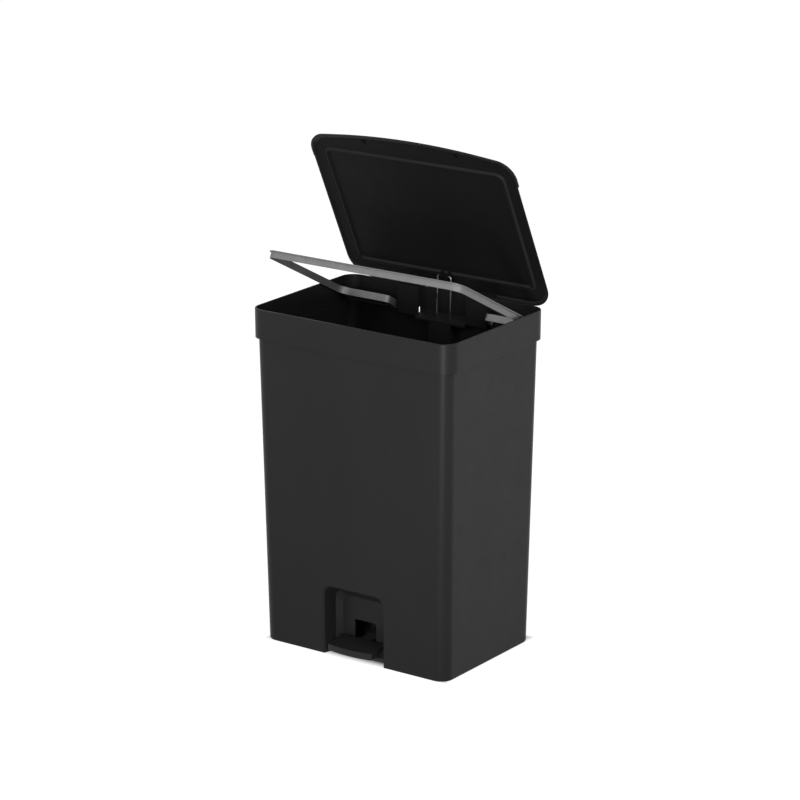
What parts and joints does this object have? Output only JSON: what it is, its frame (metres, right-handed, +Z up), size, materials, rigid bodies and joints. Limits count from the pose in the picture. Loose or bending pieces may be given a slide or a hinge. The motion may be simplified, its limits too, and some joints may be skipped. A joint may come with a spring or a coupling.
{
  "type": "pedal trash can",
  "caption": "Tall rectangular pedal bin with a hinged domed lid held open by its pressed pedal, a lift wire, and a steel bag frame that tilts up under the lid.",
  "frame": {"origin": "on the floor, under the middle of the bin's footprint", "axes": "+Z up; the pedal faces -Y and the lid's hinge is on the +Y side; +X is to the right seen from the front"},
  "size_m": [0.4236, 0.3165, 0.8866],
  "materials": {
    "bin_plastic": "black moulded polypropylene with a fine satin grain",
    "lid_plastic": "black moulded polypropylene with a fine satin grain",
    "pedal_plastic": "black moulded polypropylene, slightly worn",
    "frame_steel": "brushed stainless strip",
    "wire_steel": "drawn galvanised wire",
    "pin_steel": "turned steel",
    "cap_plastic": "black plastic",
    "buffer_rubber": "soft black rubber",
    "bracket_plastic": "black glass-filled nylon",
    "screw_steel": "zinc-plated steel",
    "rivet_steel": "bright steel",
    "bush_nylon": "black nylon",
    "guide_plastic": "black acetal",
    "lever_steel": "black painted sheet steel",
    "clip_steel": "spring steel",
    "bearing_plastic": "black acetal"
  },
  "bodies": {
    "base": {"bin_body": "bin_plastic", "lid_hinge_pin_left": "pin_steel", "lid_hinge_pin_right": "pin_steel", "hinge_pin_caps": "cap_plastic", "bag_frame_rivet_left": "rivet_steel", "bag_frame_rivet_right": "rivet_steel", "bag_frame_bush_left": "bush_nylon", "bag_frame_bush_right": "bush_nylon", "wire_guide_lower": "guide_plastic", "wire_guide_upper": "guide_plastic", "pedal_axle": "pin_steel", "axle_clips": "clip_steel", "axle_bearing_left": "bearing_plastic", "axle_bearing_right": "bearing_plastic", "bearing_screws": "screw_steel"},
    "lid": {"lid": "lid_plastic", "lid_panel": "lid_plastic", "lid_buffers": "buffer_rubber", "lift_bracket": "bracket_plastic", "lift_bracket_screws": "screw_steel"},
    "bag_frame": {"bag_frame": "frame_steel"},
    "lift_wire": {"lift_wire": "wire_steel"},
    "pedal_lever": {"pedal_lever": "lever_steel", "pedal_pad": "pedal_plastic", "pedal_screws": "screw_steel", "lever_bush_left": "bush_nylon", "lever_bush_right": "bush_nylon"}
  },
  "joints": [
    {"name": "lid_hinge", "type": "hinge", "parent": "base", "child": "lid", "pos_m": [0, 0.15575, 0.5965], "axis": [-1, 0, 0], "range_deg": [-64.2, 0]},
    {"name": "bag_frame_hinge", "type": "hinge", "parent": "base", "child": "bag_frame", "pos_m": [0, 0.13805, 0.557], "axis": [-1, 0, 0], "range_deg": [-27.5, 0]},
    {"name": "lift_wire_slide", "type": "slide", "parent": "base", "child": "lift_wire", "axis": [0, 0.0334, 0.9994], "range_m": [-0.03012, 0]},
    {"name": "pedal_hinge", "type": "hinge", "parent": "base", "child": "pedal_lever", "pos_m": [0, 0.01, 0.0375], "axis": [1, 0, 0], "range_deg": [-15.41, 0]}
  ],
  "couplings": [
    {"joint": "bag_frame_hinge", "follows": "lid_hinge", "ratio": 0.4283},
    {"joint": "lift_wire_slide", "follows": "lid_hinge", "m_per_rad": 0.026875},
    {"joint": "pedal_hinge", "follows": "lid_hinge", "ratio": 0.24}
  ]
}
